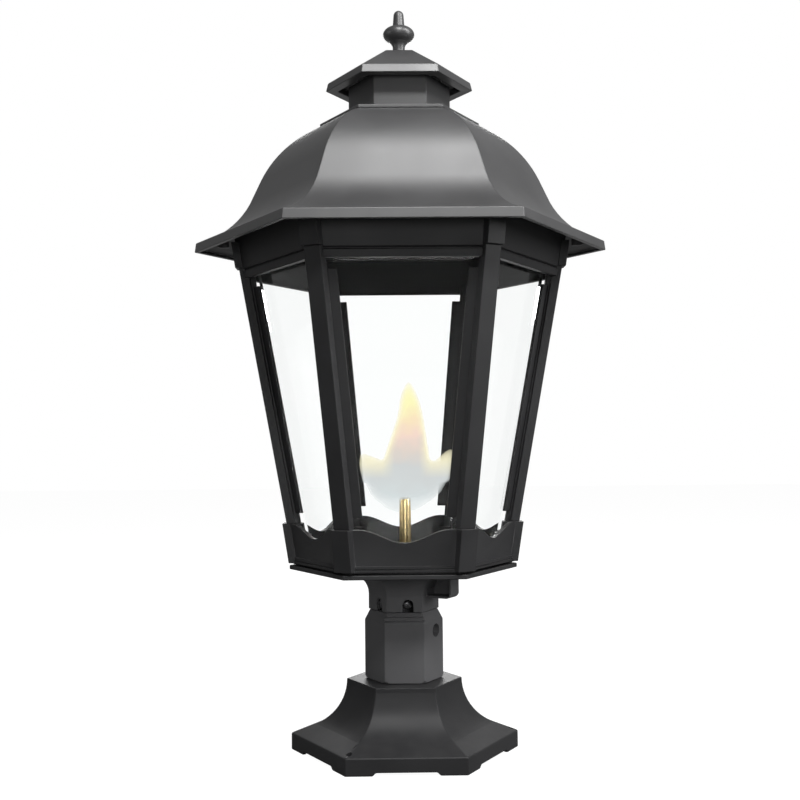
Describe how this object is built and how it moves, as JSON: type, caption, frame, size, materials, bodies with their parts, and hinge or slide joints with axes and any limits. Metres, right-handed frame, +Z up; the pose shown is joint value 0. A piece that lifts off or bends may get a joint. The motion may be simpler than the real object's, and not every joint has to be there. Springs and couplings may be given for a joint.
{
  "type": "gas post lantern",
  "caption": "Six-sided open-flame gas lantern with a bell roof, leaning corner posts and glass, on a short pier mount with a cast base.",
  "frame": {"origin": "centre of the six-sided foot, on the plane that the corner feet rest on", "axes": "+Z up along the lamp's axis; a flat side faces -Y and corners lie on +X and -X"},
  "size_m": [0.412, 0.3568, 0.7361],
  "materials": {
    "black_coat": "satin black powder coat on cast aluminium",
    "bare_steel": "zinc plated steel",
    "dark_steel": "blackened steel",
    "spring_steel": "spring steel",
    "brass": "drawn brass",
    "clear_glass": "clear flat glass"
  },
  "bodies": {
    "lamp": {"pier_base": "black_coat", "stub_tube": "dark_steel", "hex_collar": "black_coat", "post_fitter": "black_coat", "clamp_screws": "dark_steel", "floor_plate": "black_coat", "flange_screws": "bare_steel", "base_ring": "black_coat", "corner_post_1": "black_coat", "corner_post_2": "black_coat", "corner_post_3": "black_coat", "corner_post_4": "black_coat", "corner_post_5": "black_coat", "corner_post_6": "black_coat", "glass_pane_1": "clear_glass", "glass_pane_2": "clear_glass", "glass_pane_3": "clear_glass", "glass_pane_4": "clear_glass", "glass_pane_5": "clear_glass", "glass_pane_6": "clear_glass", "glass_clips": "spring_steel", "top_ring": "black_coat", "hinge_brackets": "black_coat", "hinge_pins": "bare_steel", "supply_pipe": "bare_steel", "gas_valve": "brass", "burner_tube": "brass", "burner_tip": "brass"},
    "roof": {"roof": "black_coat", "chimney_collar": "black_coat", "cap_bridge": "bare_steel", "vent_cap": "black_coat", "finial": "black_coat"},
    "valve_key": {"valve_key": "brass"}
  },
  "joints": [
    {"name": "roof_tilt", "type": "hinge", "parent": "lamp", "child": "roof", "pos_m": [0, 0.15432, 0.4893], "axis": [-1, 0, 0], "range_deg": [0, 95]},
    {"name": "key_turn", "type": "hinge", "parent": "lamp", "child": "valve_key", "pos_m": [0.0022, 0, 0.19], "axis": [1, 0, 0], "range_deg": [0, 90]}
  ]
}
